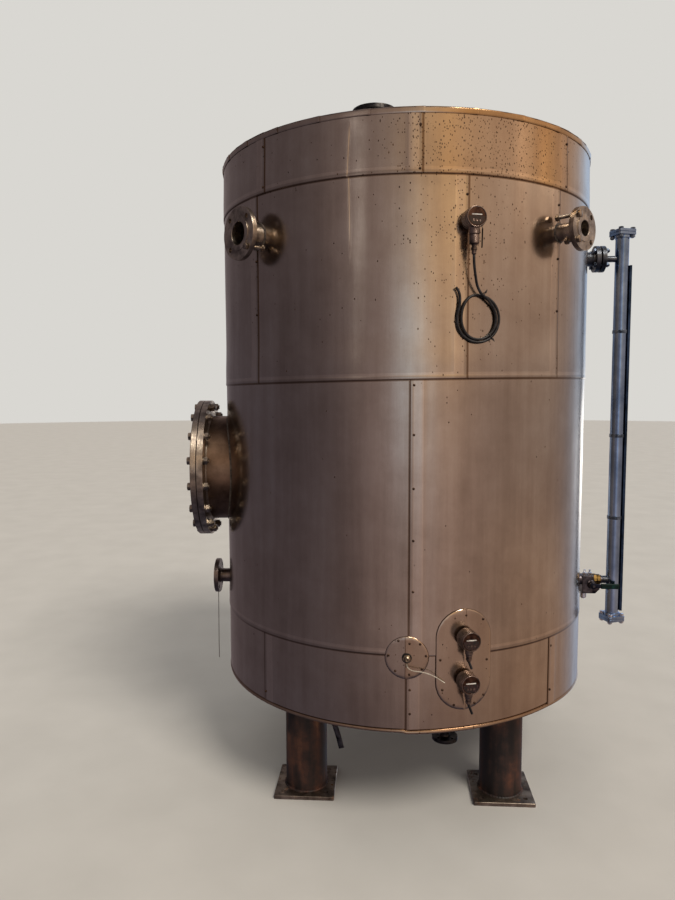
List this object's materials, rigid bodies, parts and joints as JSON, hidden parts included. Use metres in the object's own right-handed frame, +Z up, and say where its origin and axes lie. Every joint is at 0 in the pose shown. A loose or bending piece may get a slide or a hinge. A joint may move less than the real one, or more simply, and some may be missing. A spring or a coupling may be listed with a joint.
{
  "type": "vertical storage tank",
  "caption": "Insulated vertical storage tank on pipe legs, clad in lapped stainless sheets, with a bolted manway, flanged nozzles, instrument heads and a level gauge with a valve.",
  "frame": {"origin": "on the floor, under the middle of the box round the tank and its fixed fittings", "axes": "+Z up; -Y towards the front, the side with the instrument heads; +X towards the level gauge"},
  "size_m": [1.921, 1.6038, 2.7],
  "materials": {
    "cladding_sheet": "stainless sheet, bright with dull, rubbed patches and rust specks",
    "vessel_steel": "stainless plate, mill finish",
    "flange_steel": "stainless forgings, dull and stained",
    "bolt_steel": "zinc plated steel, tarnished",
    "leg_primer": "brown primer over rusty steel",
    "instrument_steel": "turned stainless housing",
    "instrument_display": "black display window",
    "valve_brass": "dull golden fittings",
    "lever_sleeve": "green vinyl sleeve on a dark bar",
    "gasket_rubber": "black gasket and sealant",
    "cable_black": "black cable jacket",
    "wire_pale": "pale wire insulation"
  },
  "bodies": {
    "tank": {"vessel_shell": "vessel_steel", "top_head": "vessel_steel", "bottom_head": "vessel_steel", "cladding_top_left": "cladding_sheet", "cladding_top_right": "cladding_sheet", "cladding_upper_left": "cladding_sheet", "cladding_upper_right": "cladding_sheet", "cladding_middle_left": "cladding_sheet", "cladding_middle_right": "cladding_sheet", "cladding_bottom_left": "cladding_sheet", "cladding_bottom_right": "cladding_sheet", "roof_cover": "cladding_sheet", "bottom_cover": "cladding_sheet", "round_cover_left": "cladding_sheet", "round_cover_right": "cladding_sheet", "long_cover_left": "cladding_sheet", "long_cover_right": "cladding_sheet", "leg_front_left": "leg_primer", "leg_front_right": "leg_primer", "leg_rear_left": "leg_primer", "leg_rear_right": "leg_primer", "strap_end": "leg_primer", "manway_neck": "flange_steel", "manway_cover": "flange_steel", "nozzle_front_left": "flange_steel", "nozzle_front_right": "flange_steel", "nozzle_low_left": "flange_steel", "roof_nozzle": "flange_steel", "drain_nozzle": "flange_steel", "gauge_upper_nozzle": "flange_steel", "gauge_upper_arm": "flange_steel", "gauge_standpipe": "flange_steel", "gauge_top_cover": "flange_steel", "gauge_bottom_cover": "flange_steel", "gauge_indicator": "flange_steel", "loose_bolt_left": "bolt_steel", "loose_bolt_right_high": "bolt_steel", "loose_bolt_right_low": "bolt_steel", "cover_gland": "bolt_steel", "instrument_head_upper": "instrument_steel", "instrument_head_middle": "instrument_steel", "instrument_head_lower": "instrument_steel", "ball_valve": "valve_brass", "gauge_lower_arm": "valve_brass", "cable_loop": "cable_black", "cable_lead": "cable_black", "cable_tail": "cable_black", "cover_wire": "wire_pale", "hanging_wire": "wire_pale"},
    "lever": {"valve_lever": "lever_sleeve"}
  },
  "joints": [
    {"name": "lever_turn", "type": "hinge", "parent": "tank", "child": "lever", "pos_m": [0.81097, -0.03167, 0.757], "axis": [0, -1, 0], "range_deg": [0, 90]}
  ]
}
